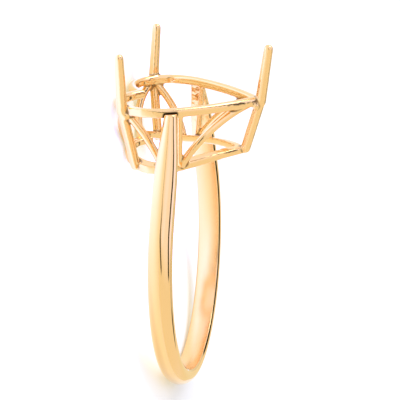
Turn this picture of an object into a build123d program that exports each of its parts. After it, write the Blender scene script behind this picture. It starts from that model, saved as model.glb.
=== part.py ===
from build123d import *
import math
import os

# Sizes in millimetres, worked out in the ring's own frame:
# X runs across the head, Y along the finger, Z from the finger to the head.
# The finished ring is turned at the end so that it lies at rest on Z = 0.

# The band
finger_radius = 8.65
band_width = 1.57
widest_width = 1.70
widest_height = 0.50
band_thickness = 1.14

# The heart outline of the head, outer edge
heart_half_width = 4.92
heart_point_reach = 5.42
heart_lobe_reach = 4.28
heart_cleft_reach = 3.40

# Right half of the outline: shares of the half width, and of the point's or the lobe's reach
heart_side = (0.484, 0.609)
heart_bend = (0.882, 0.114)
heart_flank = (0.980, -0.145)
heart_wide = (1.0, -0.432)
heart_lobe = (0.498, -1.0)

# The upper rim
rim_height = 10.90
rim_depth = 0.60
rim_width = 0.58

# The lower rim, a smaller heart that follows the finger
basket_reach = 1.06
lower_share_x = 0.81
lower_share_y = 0.837
lower_shift = 0.09
lower_width = 0.62
lower_depth = 0.47
lower_slope_degrees = 2.4

# The two arms that carry the head
arm_start_degrees = 65.5
arm_top_width = 0.86
arm_top_thickness = 0.74
arm_stand_off = 0.20
arm_top_drop = 0.26
arm_top_offset = 0.18
arm_middle_share = 0.55
arm_middle_width = 1.57
arm_middle_offset = 0.10

# Posts between the rims, with their places as shares of the heart
post_radius = 0.32
side_post_radius = 0.18
side_post_inset = 0.25
corner_foot = (0.898, -0.692)
point_foot = (0, 1.0)
point_foot_rise = 0.14

# Prongs: roots as shares of the heart, and each tip's lean as shares of the prong's length
prong_root_radius = 0.37
prong_tip_radius = 0.29
prong_length = 3.65
near_root = (0.902, -0.766)
near_lean = (0.115, -0.022)
far_root = (-0.898, -0.715)
far_lean = (-0.115, 0.033)
point_root = (0, 1.0)
point_lean = (0, 0.126)

# The curved braces: shares of the heart, and of the way up from the lower to the upper rim
brace_radius = 0.25
point_brace = ((0.829, 0.137, 0.03), (0.533, 0.502, 0.60), (0.090, 0.862, 0.96))
corner_brace = ((0.911, -0.168, 0.03), (0.939, -0.402, 0.55), (0.874, -0.701, 0.95))
lobe_brace = ((0.854, -0.759, 0.93), (0.650, -0.905, 0.64), (0.396, -0.925, 0.05))

# The head leans a little towards its point
head_lean_degrees = 2.1
lean_height = 9.0


def heart_place(across, along):
    """A place on the heart, from its shares."""
    reach = heart_point_reach if along > 0 else heart_lobe_reach
    return (across * heart_half_width, along * reach)


def heart_edges(share_x, share_y):
    """Outer edge of the heart, all the way round."""
    point = (0, heart_point_reach * share_y)
    cleft = (0, -heart_cleft_reach * share_y)
    edges = []
    for side in (1, -1):

        def place(shares):
            x, y = heart_place(*shares)
            return (side * x * share_x, y * share_y)

        edges.append(ThreePointArc(point, place(heart_side), place(heart_bend)))
        edges.append(ThreePointArc(place(heart_bend), place(heart_flank), place(heart_wide)))
        edges.append(ThreePointArc(place(heart_wide), place(heart_lobe), cleft))
    return edges


def heart_wall(share_x, share_y, width, height):
    """An upright heart-shaped wall, from Z = 0."""
    outer = make_face(Wire(heart_edges(share_x, share_y)))
    inner = offset(outer, amount=-width, kind=Kind.ARC)
    return extrude(outer - inner, amount=height)


def upper_rim():
    return Pos(0, 0, rim_height) * heart_wall(1, 1, rim_width, rim_depth)


def finger_shape(radius):
    """A cylinder that the lower rim follows, a little nearer the head than the finger's place."""
    length = 2 * (heart_point_reach + heart_lobe_reach)
    slope = Rot(90 - lower_slope_degrees, 0, 0)
    return Pos(0, 0, -basket_reach) * slope * Cylinder(radius, length)


def lower_rim():
    wall = heart_wall(lower_share_x, lower_share_y, lower_width, rim_height)
    shell = finger_shape(finger_radius + lower_depth) - finger_shape(finger_radius)
    return Pos(0, -lower_shift, 0) * wall & shell


def rim_middle():
    return rim_height + rim_depth / 2


def low_place(x, y):
    """The middle of the lower rim under this place on the upper heart."""
    low_x = x * lower_share_x
    low_y = y * lower_share_y - lower_shift
    curve = math.sqrt(finger_radius ** 2 - low_x ** 2)
    slope = low_y * math.tan(math.radians(lower_slope_degrees))
    return Vector(low_x, low_y, curve + lower_depth / 2 - basket_reach - slope)


def rod(start, end, start_radius, end_radius):
    """A straight round rod with rounded ends, turned about its own middle line."""
    along = end - start
    length = along.length
    slant = math.sqrt(0.5)
    start_corner = (start_radius, 0, 0)
    end_corner = (end_radius, 0, length)
    low = (0, 0, -start_radius)
    high = (0, 0, length + end_radius)
    lines = [
        ThreePointArc(low, (start_radius * slant, 0, -start_radius * slant), start_corner),
        Line(start_corner, end_corner),
        ThreePointArc(end_corner, (end_radius * slant, 0, length + end_radius * slant), high),
        Line(high, low),
    ]
    body = revolve(make_face(Wire(lines)), axis=Axis.Z)
    return Plane(origin=start, z_dir=along.normalized()) * body


def corner_post(root, low):
    x, y = heart_place(*root)
    return rod(low, Vector(x, y, rim_middle()), post_radius, post_radius)


def side_post(side):
    x, y = heart_place(*heart_bend)
    x = side * (x - side_post_inset)
    return rod(low_place(x, y), Vector(x, y, rim_middle()), side_post_radius, side_post_radius)


def prong(root, lean):
    x, y = heart_place(*root)
    start = Vector(x, y, rim_middle())
    end = start + Vector(lean[0], lean[1], 1) * prong_length
    return rod(start, end, prong_root_radius, prong_tip_radius)


def on_wall(side, shares):
    """A point on the basket's wall, between the lower and the upper heart."""
    across, along, rise = shares
    x, y = heart_place(across, along)
    high = Vector(side * x, y, rim_middle())
    low = low_place(side * x, y)
    return low + (high - low) * rise


def brace(side, places):
    """A curved round brace through three places on the wall."""
    path = ThreePointArc(*[on_wall(side, place) for place in places])
    start = Plane(origin=path @ 0, z_dir=path % 0)
    return sweep(start * Circle(brace_radius), path=path)


def head():
    corner_x, corner_y = heart_place(*corner_foot)
    point_low = low_place(*heart_place(*point_foot)) + Vector(0, 0, point_foot_rise)
    pieces = [
        lower_rim(),
        corner_post(near_root, low_place(corner_x, corner_y)),
        corner_post(far_root, low_place(-corner_x, corner_y)),
        corner_post(point_root, point_low),
        prong(near_root, near_lean),
        prong(far_root, far_lean),
        prong(point_root, point_lean),
    ]
    for side in (1, -1):
        pieces.append(side_post(side))
        for places in (point_brace, corner_brace, lobe_brace):
            pieces.append(brace(side, places))
    shape = upper_rim() + pieces
    lean = Rot(-head_lean_degrees, 0, 0)
    return Pos(0, 0, lean_height) * lean * Pos(0, 0, -lean_height) * shape


def section(origin, out, width, thickness):
    """Half-round section: its flat side faces the finger, and out is the way outward."""
    half = band_width / widest_width * width / 2
    height = widest_height / band_thickness * thickness
    low_side = (height, -width / 2)
    high_side = (height, width / 2)
    lines = [
        Line((0, -half), low_side),
        ThreePointArc(low_side, (thickness, 0), high_side),
        Line(high_side, (0, half)),
        Line((0, half), (0, -half)),
    ]
    plane = Plane(origin=origin, x_dir=out, z_dir=out.cross(Vector(0, 1, 0)))
    return plane * make_face(Wire(lines))


def start_out(side):
    angle = math.radians(arm_start_degrees)
    return Vector(side * math.sin(angle), 0, math.cos(angle))


def arm_start(side):
    out = start_out(side)
    return section(out * finger_radius, out, widest_width, band_thickness)


def band():
    return revolve(arm_start(1), axis=Axis.Y, revolution_arc=360 - 2 * arm_start_degrees)


def arm(side):
    """One arm: its start on the band, a middle section, and its top against the upper rim."""
    start = start_out(side) * finger_radius
    reach = heart_half_width + arm_stand_off - arm_top_thickness
    top = Vector(side * reach, arm_top_offset, rim_height + rim_depth - arm_top_drop)
    middle = start + (top - start) * arm_middle_share
    middle = Vector(middle.X, arm_middle_offset, middle.Z)
    out = Vector(side, 0, 0)
    middle_out = (start_out(side) * (1 - arm_middle_share) + out * arm_middle_share).normalized()
    thinning = (band_thickness - arm_top_thickness) * arm_middle_share
    sections = [
        arm_start(side),
        section(middle, middle_out, arm_middle_width, band_thickness - thinning),
        section(top, out, arm_top_width, arm_top_thickness),
    ]
    return loft(sections, ruled=True)


def lobe_slope(y, z):
    """Slope of a flat surface that touches this low corner of the head and the foot of the band."""
    lean = math.radians(head_lean_degrees)
    rise = z - lean_height
    lobe_y = y * math.cos(lean) + rise * math.sin(lean)
    lobe_z = lean_height + rise * math.cos(lean) - y * math.sin(lean)
    foot_y = -widest_width / 2
    foot_z = -finger_radius - widest_height
    return math.degrees(math.atan2(foot_y - lobe_y, lobe_z - foot_z))


def rest_degrees():
    """The ring lies on the foot of the band and on the lobes that reach lowest."""
    upper_y = upper_rim().bounding_box().min.Y
    lower_y = lower_rim().bounding_box().min.Y
    lower_z = low_place(*heart_place(*heart_lobe)).Z - lower_depth / 2
    return max(lobe_slope(upper_y, rim_height), lobe_slope(lower_y, lower_z))


def ring():
    shape = band() + arm(1) + arm(-1) + head()
    shape = Rot(90 - rest_degrees(), 0, 0) * shape
    box = shape.bounding_box()
    middle = box.center()
    return Pos(-middle.X, -middle.Y, -box.min.Z) * shape


def main():
    os.makedirs("parts", exist_ok=True)
    shape = ring()
    box = shape.bounding_box()
    print("solids", len(shape.solids()), "volume", round(shape.volume, 2))
    print("slope", round(rest_degrees(), 3), "from", box.min, "to", box.max)
    export_step(shape, "parts/ring_mount.step")


main()
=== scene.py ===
import math

import bmesh
import bpy
import numpy as np
from mathutils import Matrix, Vector
from mathutils.bvhtree import BVHTree


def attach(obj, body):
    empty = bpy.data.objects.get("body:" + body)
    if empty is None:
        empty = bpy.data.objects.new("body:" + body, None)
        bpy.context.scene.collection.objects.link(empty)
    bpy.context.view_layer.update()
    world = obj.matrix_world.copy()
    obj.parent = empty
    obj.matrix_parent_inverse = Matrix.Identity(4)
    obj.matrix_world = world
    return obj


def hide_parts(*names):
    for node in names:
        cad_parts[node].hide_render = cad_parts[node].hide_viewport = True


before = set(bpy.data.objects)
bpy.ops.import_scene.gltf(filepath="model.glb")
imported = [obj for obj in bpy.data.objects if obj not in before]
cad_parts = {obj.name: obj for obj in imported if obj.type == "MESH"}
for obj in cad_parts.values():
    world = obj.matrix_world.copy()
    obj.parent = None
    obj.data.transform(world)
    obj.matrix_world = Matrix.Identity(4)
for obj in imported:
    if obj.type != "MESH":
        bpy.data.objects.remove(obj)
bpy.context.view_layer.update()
print("frame loaded:", sorted(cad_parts))

# The ring is tiny, so its pieces are modelled in millimetres in the ring's own frame:
# X across the head, Y along the finger, Z from the finger to the head.
# layOnFloor then turns them onto their side, in metres, where the CAD node lies.
onFloor = {"turn": 80.2327, "shift": (0, 2.95713, 2.38995), "scale": 0.001}
nearEnough = 0.001  # places closer together than this, in millimetres, count as one


def choose(piece):
    bpy.ops.object.select_all(action="DESELECT")
    piece.select_set(True)
    bpy.context.view_layer.objects.active = piece


def startEditing(piece):
    choose(piece)
    bpy.ops.object.mode_set(mode="EDIT")


def stopEditing():
    bpy.ops.object.mode_set(mode="OBJECT")


def addPiece(name, primitive, **settings):
    bpy.ops.object.select_all(action="DESELECT")
    primitive(**settings)
    piece = bpy.context.active_object
    piece.name = name
    bpy.ops.object.transform_apply(location=True, rotation=True, scale=True)
    return piece


def pick(piece, test, kind="verts"):
    # selects what passes the test, in edit mode
    mesh = bmesh.from_edit_mesh(piece.data)
    bpy.ops.mesh.select_all(action="DESELECT")
    for item in getattr(mesh, kind):
        corners = [item] if kind == "verts" else item.verts
        if test(sum((corner.co for corner in corners), Vector()) / len(corners)):
            item.select_set(True)
    mesh.select_flush(True)
    bmesh.update_edit_mesh(piece.data)


def joinPieces(name, pieces):
    bpy.ops.object.select_all(action="DESELECT")
    for piece in pieces:
        piece.select_set(True)
    bpy.context.view_layer.objects.active = pieces[0]
    bpy.ops.object.join()
    pieces[0].name = name
    return pieces[0]


def finishWith(piece, kind, **settings):
    # adds a modifier and applies it
    choose(piece)
    modifier = piece.modifiers.new(kind.lower(), kind)
    for key, value in settings.items():
        setattr(modifier, key, value)
    bpy.ops.object.modifier_apply(modifier=modifier.name)


def applyMatrix(piece, matrix):
    choose(piece)
    piece.matrix_world = matrix @ piece.matrix_world
    bpy.context.view_layer.update()
    bpy.ops.object.transform_apply(location=True, rotation=True, scale=True)


def layOnFloor(piece):
    turn = Matrix.Rotation(math.radians(onFloor["turn"]), 4, "X")
    applyMatrix(piece, Matrix.Scale(onFloor["scale"], 4) @ Matrix.Translation(onFloor["shift"]) @ turn)


def faceOutwards(piece):
    startEditing(piece)
    bpy.ops.mesh.select_all(action="SELECT")
    bpy.ops.mesh.remove_doubles(threshold=nearEnough)
    bpy.ops.mesh.normals_make_consistent(inside=False)
    stopEditing()


def between(shares, values, share):
    # the height at this share of a smooth line through the values
    spot = 0
    while spot < len(shares) - 2 and share > shares[spot + 1]:
        spot += 1

    def slope(at):
        low, high = max(at - 1, 0), min(at + 1, len(shares) - 1)
        return (values[high] - values[low]) / (shares[high] - shares[low])

    span = shares[spot + 1] - shares[spot]
    step = (share - shares[spot]) / span
    start, end = values[spot], values[spot + 1]
    startSlope, endSlope = slope(spot) * span, slope(spot + 1) * span
    return (start * (2 * step ** 3 - 3 * step ** 2 + 1) + startSlope * (step ** 3 - 2 * step ** 2 + step)
            + end * (3 * step ** 2 - 2 * step ** 3) + endSlope * (step ** 3 - step ** 2))


def arcThrough(start, through, end):
    # centre, axis and angle of the arc
    toThrough, toEnd = through - start, end - start
    axis = toThrough.cross(toEnd)
    centre = start + (toEnd.length_squared * axis.cross(toThrough)
                      + toThrough.length_squared * toEnd.cross(axis)) / (2 * axis.length_squared)
    axis.normalize()
    first, last = start - centre, end - centre
    angle = math.atan2(first.cross(last).dot(axis), first.dot(last)) % (2 * math.pi)
    return centre, axis, angle


def spinAbout(centre, axis, angle, steps):
    # spin counts its angle the other way round
    bpy.ops.mesh.spin(steps=steps, angle=-angle, center=centre, axis=axis)


# The finger band and its two arms, one sweep of a half-round section
band = {
    "fingerRadius": 8.65, "flatWidth": 1.45, "widest": 1.70, "widestHeight": 0.50, "thickness": 1.14,
    "widening": 0.05,  # how much wider the band grows from its near side to its far side, as a share
    "armStart": 65.5, "bandSteps": 56, "armSteps": 16, "sectionSides": 24, "smoothing": 2,
    "armTop": (4.38, 0.18, 11.24),
    "widthShares": (-0.2, 0, 0.3, 0.5, 0.7, 0.85, 1),
    "widths": (1.70, 1.70, 1.68, 1.60, 1.36, 1.09, 0.85),
    "driftShares": (-0.2, 0, 0.3, 0.65, 1), "drifts": (0, 0, 0.045, 0.12, 0.18),
    "thinShares": (-0.2, 0, 0.3, 0.7, 1), "thicknesses": (1.14, 1.14, 1.09, 0.88, 0.74),
    "chamferWidth": 1.622, "chamferHeight": 0.17, "chamferEdge": 0.008, "chamferCuts": 2,
    "sideEdge": 0.15, "topEdge": 0.08,
    "flatCuts": 4, "crowns": ((0.5, 0.020), (0.2, 0.012)),  # reach and rise of the inside's slight crown
}


def halfRoundWire():
    # the section at the right of the finger hole, its flat side towards the finger
    half, height = band["widest"] / 2, band["thickness"] - band["widestHeight"]
    radius = (half ** 2 + height ** 2) / (2 * height)
    inner = band["fingerRadius"]
    side = inner + band["widestHeight"]
    piece = addPiece("fingerBand", bpy.ops.mesh.primitive_circle_add, vertices=band["sectionSides"],
                     radius=radius, location=(inner + band["thickness"] - radius, 0, 0))
    startEditing(piece)
    bpy.ops.mesh.select_all(action="SELECT")
    bpy.ops.mesh.bisect(plane_co=(side, 0, 0), plane_no=(1, 0, 0), clear_inner=True)
    chamferTop = inner + band["chamferHeight"]
    pick(piece, lambda place: place.x < side + nearEnough)
    bottom, width = side, band["widest"]
    for newBottom, newWidth in ((chamferTop, band["chamferWidth"]), (inner, band["flatWidth"])):
        bpy.ops.mesh.extrude_region_move(TRANSFORM_OT_translate={"value": (newBottom - bottom, 0, 0)})
        bpy.ops.transform.resize(value=(1, newWidth / width, 1), center_override=(inner, 0, 0))
        bottom, width = newBottom, newWidth
    bpy.ops.mesh.edge_face_add()
    pick(piece, lambda place: place.x < chamferTop + nearEnough)
    bpy.ops.mesh.bevel(affect="VERTICES", offset=band["chamferEdge"], segments=1)
    pick(piece, lambda place: abs(place.x - side) < nearEnough)
    bpy.ops.mesh.bevel(affect="VERTICES", offset=band["sideEdge"], segments=3)
    inset = 10 * nearEnough
    pick(piece, lambda place: inner + inset < place.x < chamferTop - inset, "edges")
    bpy.ops.mesh.subdivide(number_cuts=band["chamferCuts"])
    pick(piece, lambda place: place.x < inner + nearEnough, "edges")
    bpy.ops.mesh.subdivide(number_cuts=band["flatCuts"])
    for reach, crown in band["crowns"]:
        pick(piece, lambda place: place.x < inner + nearEnough and abs(place.y) < reach)
        bpy.ops.transform.translate(value=(-crown, 0, 0))
    bpy.ops.mesh.select_all(action="SELECT")
    return piece


def armPlace(share):
    # where an arm's section is: its middle on the flat side, its angle, width and thickness
    angle = math.radians(band["armStart"])
    start = Vector((math.sin(angle), 0, math.cos(angle))) * band["fingerRadius"]
    top = Vector(band["armTop"])
    place = start.lerp(top, share)
    place.y = between(band["driftShares"], band["drifts"], share)
    width = between(band["widthShares"], band["widths"], share)
    thickness = between(band["thinShares"], band["thicknesses"], share)
    return place, angle + (math.pi / 2 - angle) * share ** 2, width, thickness


def growArm(piece, side):
    place, angle, width, thickness = armPlace(0)
    along = Vector((math.cos(angle) * side, 0, -math.sin(angle)))
    pick(piece, lambda spot: spot.x * side > 0 and abs(spot.dot(along)) < nearEnough)
    for step in range(1, band["armSteps"] + 1):
        bpy.ops.mesh.extrude_region_move()
        newPlace, newAngle, newWidth, newThickness = armPlace(step / band["armSteps"])
        middle = Vector((place.x * side, place.y, place.z))
        thicker = newThickness / thickness
        bpy.ops.transform.resize(value=(thicker, newWidth / width, thicker), center_override=middle)
        bpy.ops.transform.rotate(value=-(newAngle - angle) * side, orient_axis="Y", center_override=middle)
        move = newPlace - place
        bpy.ops.transform.translate(value=(move.x * side, move.y, move.z))
        place, angle, width, thickness = newPlace, newAngle, newWidth, newThickness


def makeFingerBand():
    piece = halfRoundWire()
    start = math.radians(band["armStart"])
    bpy.ops.transform.rotate(value=math.pi / 2 - start, orient_axis="Y", center_override=(0, 0, 0))
    spinAbout((0, 0, 0), (0, 1, 0), 2 * math.pi - 2 * start, band["bandSteps"])
    for side in (1, -1):
        growArm(piece, side)
    bpy.ops.mesh.select_all(action="SELECT")
    bpy.ops.mesh.fill_holes(sides=0)
    bpy.ops.mesh.select_all(action="SELECT")
    bpy.ops.mesh.normals_make_consistent(inside=False)
    top = band["armTop"][2]
    pick(piece, lambda spot: spot.z > top - nearEnough)
    bpy.ops.mesh.bevel(affect="EDGES", offset=band["topEdge"], segments=2)
    bpy.ops.mesh.select_all(action="SELECT")
    bpy.ops.transform.resize(value=(1, 1 + band["widening"] / 2, 1), center_override=(0, 0, 0))
    stopEditing()
    faceOutwards(piece)
    finishWith(piece, "SIMPLE_DEFORM", deform_method="TAPER", deform_axis="X",
               factor=-band["widening"], lock_z=True)
    finishWith(piece, "SUBSURF", levels=band["smoothing"], render_levels=band["smoothing"])
    layOnFloor(piece)
    return piece


# The basket head: two heart-shaped rims, posts, prongs and curved braces.
# Places on the heart are shares of its half width, and of its reach to the point or to the lobes.
head = {
    "halfWidth": 4.92, "pointReach": 5.42, "lobeReach": 4.28, "cleftReach": 3.40,
    "side": (0.484, 0.609), "bend": (0.882, 0.114), "flank": (0.980, -0.145),
    "wide": (1.0, -0.432), "lobe": (0.498, -1.0),
    "rimHeight": 10.90, "rimDepth": 0.60, "rimWidth": 0.58,
    "reach": 1.06, "lowerX": 0.81, "lowerY": 0.837, "lowerShift": 0.09,
    "lowerWidth": 0.62, "lowerDepth": 0.47, "lowerSlope": 2.4,
    "lowerWall": (4.5, 9.5), "cutterLength": 24, "cutterSides": 256,
    "postRadius": 0.32, "sidePostRadius": 0.18, "sidePostInset": 0.25,
    "cornerFoot": (0.898, -0.692), "pointFootRise": 0.14,
    "prongRoot": 0.37, "prongTip": 0.29, "prongLength": 3.65,
    "rodSides": 32, "endRound": 0.96, "endSteps": 7,
    "roots": ((0.902, -0.766), (-0.898, -0.715), (0, 1.0)),
    "leans": ((0.115, -0.022), (-0.115, 0.033), (0, 0.126)),
    "braceRadius": 0.25, "braceSides": 24, "braceSteps": 24,
    "pointBrace": ((0.829, 0.137, 0.03), (0.533, 0.502, 0.60), (0.090, 0.862, 0.96)),
    "cornerBrace": ((0.911, -0.168, 0.03), (0.939, -0.402, 0.55), (0.874, -0.701, 0.95)),
    "lobeBrace": ((0.854, -0.759, 0.93), (0.650, -0.905, 0.64), (0.396, -0.925, 0.05)),
    "lean": 2.1, "leanHeight": 9.0,
    # metal left between the bars where they meet under the rim: places and half sizes
    "webs": (((-4.42, -3.02, 10.82), (0.42, 0.72, 0.46)), ((4.38, -3.10, 10.88), (0.40, 0.46, 0.34)),
             ((0, 5.15, 10.92), (0.66, 0.26, 0.38))),
    # each bar swells a little, because softening the joints takes as much off again
    "swell": 0.030, "grain": 0.055, "softening": 20, "rimEdge": 0.17, "sharpEdge": 1.2,
}


def heartPlace(across, along):
    return across * head["halfWidth"], along * (head["pointReach"] if along > 0 else head["lobeReach"])


def heartWall(name, shareX, shareY, shift, width, low, high):
    # half the outline is spun arc by arc, mirrored, filled, inset for the wall's width and raised
    def place(x, y):
        return Vector((x * shareX, y * shareY + shift, low))

    point = place(0, head["pointReach"])
    piece = addPiece(name, bpy.ops.mesh.primitive_plane_add, size=1, location=point)
    startEditing(piece)
    bpy.ops.mesh.merge(type="CENTER")
    last = point
    arcs = (("side", "bend", 9), ("flank", "wide", 8), ("lobe", None, 16))
    for through, end, steps in arcs:
        goal = place(*heartPlace(*head[end])) if end else place(0, -head["cleftReach"])
        spinAbout(*arcThrough(last, place(*heartPlace(*head[through])), goal), steps)
        last = goal
    stopEditing()
    finishWith(piece, "MIRROR", merge_threshold=nearEnough)
    startEditing(piece)
    bpy.ops.mesh.select_all(action="SELECT")
    bpy.ops.mesh.edge_face_add()
    bpy.ops.mesh.inset(thickness=width, depth=0)
    bpy.ops.mesh.delete(type="FACE")
    bpy.ops.mesh.select_all(action="SELECT")
    bpy.ops.mesh.extrude_region_move(TRANSFORM_OT_translate={"value": (0, 0, high - low)})
    stopEditing()
    faceOutwards(piece)
    return piece


def upperRim():
    # its faces are crowned, as a filed and polished wire is
    swell = head["swell"] / 2
    rim = heartWall("basketHead", 1, 1, 0, head["rimWidth"],
                    head["rimHeight"] - swell, head["rimHeight"] + head["rimDepth"] + swell)
    middle = rimMiddle()
    startEditing(rim)
    bpy.ops.mesh.select_all(action="DESELECT")
    mesh = bmesh.from_edit_mesh(rim.data)
    for edge in mesh.edges:
        heights = [corner.co.z - middle for corner in edge.verts]
        if heights[0] * heights[1] > 0 and edge.calc_face_angle(0) > head["sharpEdge"]:
            edge.select_set(True)
    bmesh.update_edit_mesh(rim.data)
    bpy.ops.mesh.bevel(affect="EDGES", offset=head["rimEdge"], segments=3)
    stopEditing()
    return rim


def lowerRim():
    swell = head["swell"] / 2
    wall = heartWall("lowerRim", head["lowerX"], head["lowerY"], -head["lowerShift"],
                     head["lowerWidth"], *head["lowerWall"])
    inner = band["fingerRadius"] - swell
    outer = band["fingerRadius"] + head["lowerDepth"] + swell
    for radius, operation in ((outer, "INTERSECT"), (inner, "DIFFERENCE")):
        cutter = addPiece("fingerShape", bpy.ops.mesh.primitive_cylinder_add, vertices=head["cutterSides"],
                          radius=radius, depth=head["cutterLength"], location=(0, 0, -head["reach"]),
                          rotation=(math.radians(90 - head["lowerSlope"]), 0, 0))
        finishWith(wall, "BOOLEAN", operation=operation, object=cutter, solver="EXACT")
        bpy.data.objects.remove(cutter)
    return wall


def rimMiddle():
    return head["rimHeight"] + head["rimDepth"] / 2


def lowPlace(x, y):
    # the middle of the lower rim under a place on the upper heart
    lowX, lowY = x * head["lowerX"], y * head["lowerY"] - head["lowerShift"]
    curve = math.sqrt(band["fingerRadius"] ** 2 - lowX ** 2)
    slope = lowY * math.tan(math.radians(head["lowerSlope"]))
    return Vector((lowX, lowY, curve + head["lowerDepth"] / 2 - head["reach"] - slope))


def rod(start, end, startRadius, endRadius):
    # a cylinder that tapers, its ends bevelled round
    startRadius, endRadius = startRadius + head["swell"], endRadius + head["swell"]
    length = (end - start).length
    low, high = -startRadius, length + endRadius
    piece = addPiece("rod", bpy.ops.mesh.primitive_cylinder_add, vertices=head["rodSides"],
                     radius=startRadius, depth=high - low, location=(0, 0, (low + high) / 2))
    startEditing(piece)
    pick(piece, lambda place: place.z > high - nearEnough)
    share = endRadius / startRadius
    bpy.ops.transform.resize(value=(share, share, share), center_override=(0, 0, high))
    bpy.ops.mesh.bevel(affect="EDGES", offset=endRadius * head["endRound"], segments=head["endSteps"])
    pick(piece, lambda place: place.z < low + nearEnough)
    bpy.ops.mesh.bevel(affect="EDGES", offset=startRadius * head["endRound"], segments=head["endSteps"])
    stopEditing()
    heading = (end - start).to_track_quat("Z", "Y").to_matrix().to_4x4()
    applyMatrix(piece, Matrix.Translation(start) @ heading)
    return piece


def onWall(side, shares):
    # a place on the basket's wall, between the lower and the upper heart
    across, along, rise = shares
    x, y = heartPlace(across, along)
    return lowPlace(side * x, y).lerp(Vector((side * x, y, rimMiddle())), rise)


def brace(side, places):
    # a round bar, spun about the arc's own centre
    start, through, end = [onWall(side, place) for place in places]
    centre, axis, angle = arcThrough(start, through, end)
    heading = axis.cross(start - centre).to_track_quat("Z", "Y").to_euler()
    piece = addPiece("brace", bpy.ops.mesh.primitive_circle_add, vertices=head["braceSides"],
                     radius=head["braceRadius"] + head["swell"], location=start, rotation=heading)
    startEditing(piece)
    bpy.ops.mesh.select_all(action="SELECT")
    spinAbout(centre, axis, angle, head["braceSteps"])
    bpy.ops.mesh.select_all(action="SELECT")
    bpy.ops.mesh.fill_holes(sides=0)
    stopEditing()
    faceOutwards(piece)
    return piece


def makeBasketHead():
    pieces = [upperRim(), lowerRim()]
    cornerX, cornerY = heartPlace(*head["cornerFoot"])
    feet = (lowPlace(cornerX, cornerY), lowPlace(-cornerX, cornerY),
            lowPlace(0, head["pointReach"]) + Vector((0, 0, head["pointFootRise"])))
    for root, lean, foot in zip(head["roots"], head["leans"], feet):
        x, y = heartPlace(*root)
        base = Vector((x, y, rimMiddle()))
        pieces.append(rod(foot, base, head["postRadius"], head["postRadius"]))
        tip = base + Vector((lean[0], lean[1], 1)) * head["prongLength"]
        pieces.append(rod(base, tip, head["prongRoot"], head["prongTip"]))
    for side in (1, -1):
        x, y = heartPlace(*head["bend"])
        x = side * (x - head["sidePostInset"])
        top = Vector((x, y, rimMiddle()))
        pieces.append(rod(lowPlace(x, y), top, head["sidePostRadius"], head["sidePostRadius"]))
        for places in (head["pointBrace"], head["cornerBrace"], head["lobeBrace"]):
            pieces.append(brace(side, places))
    for place, size in head["webs"]:
        pieces.append(addPiece("web", bpy.ops.mesh.primitive_uv_sphere_add, segments=24, ring_count=16,
                               radius=1, location=place, scale=size))
    print("head parts:", len(pieces))
    piece = joinPieces("basketHead", pieces)
    lift = Vector((0, 0, head["leanHeight"]))
    lean = Matrix.Rotation(math.radians(-head["lean"]), 4, "X")
    applyMatrix(piece, Matrix.Translation(lift) @ lean @ Matrix.Translation(-lift))
    finishWith(piece, "REMESH", mode="VOXEL", voxel_size=head["grain"])
    finishWith(piece, "SMOOTH", factor=0.5, iterations=head["softening"])
    print("head triangles:", 2 * len(piece.data.polygons))
    layOnFloor(piece)
    return piece


fingerBand = makeFingerBand()
print("finger band made:", len(fingerBand.data.polygons), "faces")
basketHead = makeBasketHead()
print("basket head made")


# Shader maths written as sums: each operator adds its Math node
class Sum:
    def __init__(self, tree, socket):
        self.tree, self.socket = tree, socket

    def combine(self, operation, first, second=None):
        node = self.tree.nodes.new("ShaderNodeMath")
        node.operation = operation
        for index, value in enumerate(part for part in (first, second) if part is not None):
            if isinstance(value, Sum):
                self.tree.links.new(value.socket, node.inputs[index])
            else:
                node.inputs[index].default_value = value
        return Sum(self.tree, node.outputs[0])

    def __abs__(self):
        return self.combine("ABSOLUTE", self)

    def __add__(self, other):
        return self.combine("ADD", self, other)

    def __radd__(self, other):
        return self.combine("ADD", other, self)

    def __sub__(self, other):
        return self.combine("SUBTRACT", self, other)

    def __rsub__(self, other):
        return self.combine("SUBTRACT", other, self)

    def __mul__(self, other):
        return self.combine("MULTIPLY", self, other)

    def __rmul__(self, other):
        return self.combine("MULTIPLY", other, self)

    def __truediv__(self, other):
        return self.combine("DIVIDE", self, other)

    def __rtruediv__(self, other):
        return self.combine("DIVIDE", other, self)


class NodeTree:
    def __init__(self, owner):
        owner.use_nodes = True
        self.tree = owner.node_tree
        self.tree.nodes.clear()

    def node(self, kind, settings=None, inputs=None):
        item = self.tree.nodes.new(kind)
        for key, value in (settings or {}).items():
            setattr(item, key, value)
        for key, value in (inputs or {}).items():
            if isinstance(value, Sum):
                self.tree.links.new(value.socket, item.inputs[key])
            elif isinstance(value, bpy.types.NodeSocket):
                self.tree.links.new(value, item.inputs[key])
            else:
                item.inputs[key].default_value = value
        return item

    def sum(self, socket):
        return Sum(self.tree, socket)

    def mix(self, factor, first, second):
        # its colours are the sockets 6 and 7, and its result is output 2
        return self.node("ShaderNodeMix", {"data_type": "RGBA"}, {
            "Factor": factor, 6: first, 7: second}).outputs[2]

    def vector(self, operation, *values):
        return self.node("ShaderNodeVectorMath", {"operation": operation}, dict(enumerate(values))).outputs

    def measure(self, name):
        return self.sum(self.node("ShaderNodeAttribute", {"attribute_name": name}).outputs["Fac"])

    def noise(self, place, scale, detail):
        return self.sum(self.node("ShaderNodeTexNoise", inputs={
            "Vector": place, "Scale": scale, "Detail": detail}).outputs["Fac"])

    def ease(self, value, low, high):
        return self.sum(self.node("ShaderNodeMapRange", {"interpolation_type": "SMOOTHSTEP"}, {
            "Value": value, "From Min": low, "From Max": high}).outputs["Result"])


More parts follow.
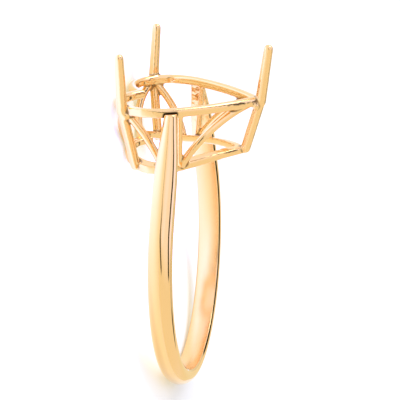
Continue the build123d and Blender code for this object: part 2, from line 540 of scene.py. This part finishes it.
# What the gold reads from the shape: painted shade at the joins where the two pieces meet and in the hollows
# between bars, the arms' inner sides left as cast, and the satin side towards the finger, also painted paler
# as a painted highlight
measures = {
    "joinReach": 0.00016, "hollowDepth": 0.0000017, "hollowPasses": 3,
    "castHeight": 0.0062, "castRise": 0.001, "castTurn": (0.3, 0.6), "headCast": 0.35,
    "insideTurn": (0.80, 0.95),
}


def rise(value, low, high):
    # from 0 at low to 1 at high
    return min(max((value - low) / (high - low), 0), 1)


def ringHeight(place):
    # how far up the ring a place is, from the finger's middle towards the head, in metres
    turn = math.radians(onFloor["turn"])
    y, z = [place[axis] - onFloor["shift"][axis] * onFloor["scale"] for axis in (1, 2)]
    return z * math.cos(turn) - y * math.sin(turn)


def storeMeasure(piece, name, values):
    attribute = piece.data.attributes.new(name, "FLOAT", "POINT")
    attribute.data.foreach_set("value", values)


def measureJoinShade(piece, other):
    # how close each vertex is to the other piece, for painted shade in the gap where band and head meet
    tree = BVHTree.FromObject(other, bpy.context.evaluated_depsgraph_get())
    reach = measures["joinReach"]
    values = []
    for vertex in piece.data.vertices:
        nearest = tree.find_nearest(vertex.co, reach)
        values.append(0.0 if nearest[0] is None else 1 - nearest[3] / reach)
    storeMeasure(piece, "join", values)


def measureHollowShade(piece):
    # a vertex that lies deeper than its neighbours sits in a recess, and the gold is darkened there as
    # painted shade
    count = len(piece.data.vertices)
    places = np.empty(count * 3)
    piece.data.vertices.foreach_get("co", places)
    normals = np.empty(count * 3)
    piece.data.vertices.foreach_get("normal", normals)
    places, normals = places.reshape(-1, 3), normals.reshape(-1, 3)
    edges = np.empty(len(piece.data.edges) * 2, int)
    piece.data.edges.foreach_get("vertices", edges)
    first, second = edges.reshape(-1, 2).T

    def around(values):
        total = np.zeros_like(values)
        np.add.at(total, first, values[second])
        np.add.at(total, second, values[first])
        return total / links.reshape((-1,) + (1,) * (values.ndim - 1))

    links = np.bincount(edges, minlength=count).astype(float)
    depth = ((around(places) - places) * normals).sum(1)
    for smoothing in range(measures["hollowPasses"]):
        depth = (depth + around(depth)) / 2
    storeMeasure(piece, "hollowShade", np.clip(depth / measures["hollowDepth"], 0, 1))


def measureInside(piece):
    # the side towards the finger is satin, and its colour is painted paler as a painted highlight
    values = []
    for vertex in piece.data.vertices:
        out = Vector((vertex.co.x, ringHeight(vertex.co))).normalized()
        normal = Vector((vertex.normal.x, ringHeight(vertex.co + vertex.normal) - ringHeight(vertex.co)))
        values.append(rise(-normal.dot(out), *measures["insideTurn"]))
    storeMeasure(piece, "inside", values)


def measureCast(piece):
    # the inner sides of the arms, beside the basket, keep their cast skin
    values = []
    for vertex in piece.data.vertices:
        height = ringHeight(vertex.co) - measures["castHeight"]
        inward = -vertex.normal.x * math.copysign(1, vertex.co.x)
        values.append(rise(height, 0, measures["castRise"]) * rise(inward, *measures["castTurn"]))
    storeMeasure(piece, "cast", values)


for piece, other in ((fingerBand, basketHead), (basketHead, fingerBand)):
    measureJoinShade(piece, other)
    measureHollowShade(piece)
measureCast(fingerBand)
measureInside(fingerBand)
storeMeasure(basketHead, "cast", [measures["headCast"]] * len(basketHead.data.vertices))
print("joins, hollows and cast sides measured")


# The gold: one for the polished band, and one a little softer for the cast head.
# The sizes of its grain and lumps are in metres.
gold = {
    "colour": (0.925, 0.625, 0.272, 1), "warmer": (0.915, 0.595, 0.235, 1),
    "toneSize": 1 / 300, "toneShare": 0.6,
    # painted shade colour for the recesses between bars
    "hollowShadeColour": (0.16, 0.08, 0.02, 1), "hollowShadeShare": 0.85,
    # painted shade colour for the gap where band and head meet
    "join": (0.015, 0.007, 0.002, 1), "joinShadeShare": 1.4,
    # painted highlight colour for the side towards the finger
    "insideHighlight": (0.95, 0.64, 0.30, 1),
    "bandRoughness": 0.04, "headRoughness": 0.08,
    "grainRoughness": 0.06, "castRoughness": 0.08, "insideRoughness": 0.12,
    "grainSize": 0.00045, "grainHeight": 0.0000015, "castSize": 0.00055, "castHeight": 0.00006,
}


def goldMaterial(name, roughness):
    material = bpy.data.materials.new(name)
    tree = NodeTree(material)
    place = tree.node("ShaderNodeTexCoord").outputs["Object"]
    cast, inside = tree.measure("cast"), tree.measure("inside")
    tone = tree.noise(place, 1 / gold["toneSize"], 3)
    grain = tree.noise(place, 1 / gold["grainSize"], 4)
    lumps = tree.noise(place, 1 / gold["castSize"], 1)
    colour = tree.mix(tone * gold["toneShare"], gold["colour"], gold["warmer"])
    # painted shade in the recesses between the bars
    colour = tree.mix(tree.measure("hollowShade") * gold["hollowShadeShare"], colour, gold["hollowShadeColour"])
    # painted shade, nearly black, in the gap where the band meets the head
    colour = tree.mix(tree.measure("join") * gold["joinShadeShare"], colour, gold["join"])
    # painted highlight: the side towards the finger is painted paler
    colour = tree.mix(inside, colour, gold["insideHighlight"])
    height = grain * gold["grainHeight"] + lumps * cast * gold["castHeight"]
    bump = tree.node("ShaderNodeBump", inputs={"Strength": 1.0, "Distance": 1.0, "Height": height})
    roughness = (grain * gold["grainRoughness"] + cast * gold["castRoughness"]
                 + inside * gold["insideRoughness"] + roughness)
    shader = tree.node("ShaderNodeBsdfPrincipled", inputs={
        "Base Color": colour, "Metallic": 1.0, "Roughness": roughness, "Normal": bump.outputs["Normal"]})
    tree.node("ShaderNodeOutputMaterial", inputs={"Surface": shader.outputs["BSDF"]})
    return material


def dress(piece, material):
    piece.data.materials.clear()
    piece.data.materials.append(material)
    choose(piece)
    bpy.ops.object.shade_smooth()
    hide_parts("ring_mount")
    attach(piece, "root")


dress(fingerBand, goldMaterial("polishedGold", gold["bandRoughness"]))
dress(basketHead, goldMaterial("castGold", gold["headRoughness"]))
print("gold on")


# Floor and light. The room is a light tent: dim white ahead, bright and cool behind the head,
# with thin dark seams, as the polished gold shows.
# the floor glows with painted light, and a painted soft shadow lies at the ring's foot
studio = {
    "floorSize": 6.0, "floorColour": (0.80, 0.80, 0.80, 1), "floorRoughness": 0.9,
    "floorGlow": (0.21, 0.225, 0.15), "glowEnd": (0.001, 0.009),
    "roomColour": (1.02, 0.97, 0.94), "coolLight": (0.20, 0.29, 1.10),
    "keySize": 0.14, "keyPower": 0.3, "keyPlace": (-0.06, -0.24, 0.22),
    # the floor's painted light and shade: middle, reach across and along, strength and steepness, in metres
    # painted pools of cool light on the floor, with one painted dimmer patch
    "coolGlows": (  # before the ring
        ((0.0005, -0.0090), (0.0095, 0.0140), 2.3, 4),
        ((-0.0060, 0.0020), (0.0045, 0.0050), 0.5, 4),
        ((-0.0010, -0.0070), (0.0050, 0.0065), -2.4, 6),
    ),
    # painted white light round the ring, and a painted soft shadow at its foot
    "whiteGlowsAndShadow": (  # round the ring, but for a soft shade at its foot
        ((0.0030, 0.0020), (0.0125, 0.0125), 0.13, 4),
        ((0.0006, 0.0141), (0.0050, 0.0032), -0.15, 4),
    ),
    # brighter and dimmer sides of the tent: the way to each, where it starts and is full,
    # and how much it adds
    "sides": (
        ((0.112, -0.633, 0.766), 0.35, 0.78, 0.50),
        ((0.709, -0.497, 0.500), 0.94, 0.985, 0.28),
        ((-0.571, -0.816, 0.087), 0.85, 0.97, 0.40),
        ((-0.084, 0.022, 0.996), 0.93, 1.00, 0.60),
        ((-0.866, 0.500, 0.000), 0.82, 1.00, -0.28),
    ),
    # each seam is a ring round an axis: the axis, how far along it, half its width,
    # the part of the room it runs in, and how dark it is
    "seams": (
        ((-0.317, -0.367, 0.875), 0.0, 0.070, (0.924, -0.248, 0.292), 0.92, 1.0),
        ((-0.317, -0.367, 0.875), 0.0, 0.050, (0.751, -0.660, 0.035), 0.96, 0.4),
        ((-0.970, -0.190, 0.152), 0.0, 0.085, (-0.083, -0.332, 0.940), 0.70, 1.0),
        ((-0.631, 0.350, 0.693), 0.956, 0.022, (0.0, 0.0, 1.0), 0.43, 1.0),
    ),
    "seamColour": (0.030, 0.025, 0.010, 1), "seamEdge": (0.6, 1.3), "seamEnd": 0.05,
}


def makeFloor():
    floor = addPiece("floor", bpy.ops.mesh.primitive_plane_add, size=studio["floorSize"])
    material = bpy.data.materials.new("paleFloor")
    tree = NodeTree(material)
    place = tree.node("ShaderNodeSeparateXYZ", inputs={0: tree.node("ShaderNodeTexCoord").outputs["Object"]})
    x, y = tree.sum(place.outputs["X"]), tree.sum(place.outputs["Y"])

    def glow(spots):
        light = 0.0
        for middle, reach, strength, steepness in spots:
            across, along = (x - middle[0]) / reach[0], (y - middle[1]) / reach[1]
            away = across * across + along * along
            light = strength / (away.combine("POWER", away, steepness / 2) + 1) + light
        return light

    # the floor glows though it is no lamp: its emission is painted light and shade
    cool = glow(studio["coolGlows"]) * (1 - tree.ease(y, *studio["glowEnd"]))
    light = tree.vector("MULTIPLY_ADD", cool, studio["coolLight"], studio["floorGlow"])["Vector"]
    light = tree.vector("ADD", light, glow(studio["whiteGlowsAndShadow"]))["Vector"]
    shader = tree.node("ShaderNodeBsdfPrincipled", inputs={
        "Base Color": studio["floorColour"], "Roughness": studio["floorRoughness"],
        "Emission Color": light, "Emission Strength": 1.0})
    tree.node("ShaderNodeOutputMaterial", inputs={"Surface": shader.outputs["BSDF"]})
    floor.data.materials.append(material)


def lightRoom():
    world = bpy.data.worlds.new("paleRoom")
    bpy.context.scene.world = world
    tree = NodeTree(world)
    heading = tree.node("ShaderNodeTexCoord").outputs["Generated"]

    def along(axis):
        return tree.sum(tree.vector("DOT_PRODUCT", heading, Vector(axis).normalized())["Value"])

    cool = 0.0
    for towards, start, full, gain in studio["sides"]:
        cool = tree.ease(along(towards), start, full) * gain + cool
    light = tree.vector("MULTIPLY_ADD", cool, studio["coolLight"], studio["roomColour"])["Vector"]
    softStart, softEnd = studio["seamEdge"]
    for axis, offset, half, towards, reach, depth in studio["seams"]:
        away = abs(along(axis) - offset)
        across = 1 - tree.ease(away, half * softStart, half * softEnd)
        dark = across * tree.ease(along(towards), reach, reach + studio["seamEnd"]) * depth
        light = tree.mix(dark, light, studio["seamColour"])
    # the camera itself sees plain white
    seen = tree.node("ShaderNodeLightPath").outputs["Is Camera Ray"]
    glow = tree.node("ShaderNodeBackground", inputs={
        "Color": tree.mix(seen, light, (1, 1, 1, 1)), "Strength": 1.0})
    tree.node("ShaderNodeOutputWorld", inputs={"Surface": glow.outputs["Background"]})
    key = bpy.data.lights.new("softKey", "AREA")
    key.size, key.energy = studio["keySize"], studio["keyPower"]
    lamp = bpy.data.objects.new("softKey", key)
    bpy.context.scene.collection.objects.link(lamp)
    lamp.location = studio["keyPlace"]
    lamp.rotation_euler = Vector(studio["keyPlace"]).to_track_quat("Z", "Y").to_euler()


# The photo's view. The ring stands upright in it, so the camera is rolled onto its side.
camera = {
    "place": (0.10097, -0.03097, 0.02986), "right": (-0.19544, 0.19630, 0.96087),
    "back": (0.9179, -0.30839, 0.24972),
    "lens": 138.0, "sensor": 36.0, "shift": (0.033, 0.1205), "nearest": 0.005,
}


def placeCamera():
    data = bpy.data.cameras.new("camera")
    data.lens, data.sensor_width = camera["lens"], camera["sensor"]
    data.shift_x, data.shift_y = camera["shift"]
    data.clip_start = camera["nearest"]
    view = bpy.data.objects.new("camera", data)
    bpy.context.scene.collection.objects.link(view)
    back = Vector(camera["back"]).normalized()
    right = Vector(camera["right"])
    right = (right - back * right.dot(back)).normalized()
    turn = Matrix((right, back.cross(right), back)).transposed()
    view.matrix_world = Matrix.Translation(camera["place"]) @ turn.to_4x4()
    bpy.context.scene.camera = view


makeFloor()
lightRoom()
placeCamera()
bpy.context.scene.view_settings.view_transform = "Standard"
print("floor, light and camera placed")
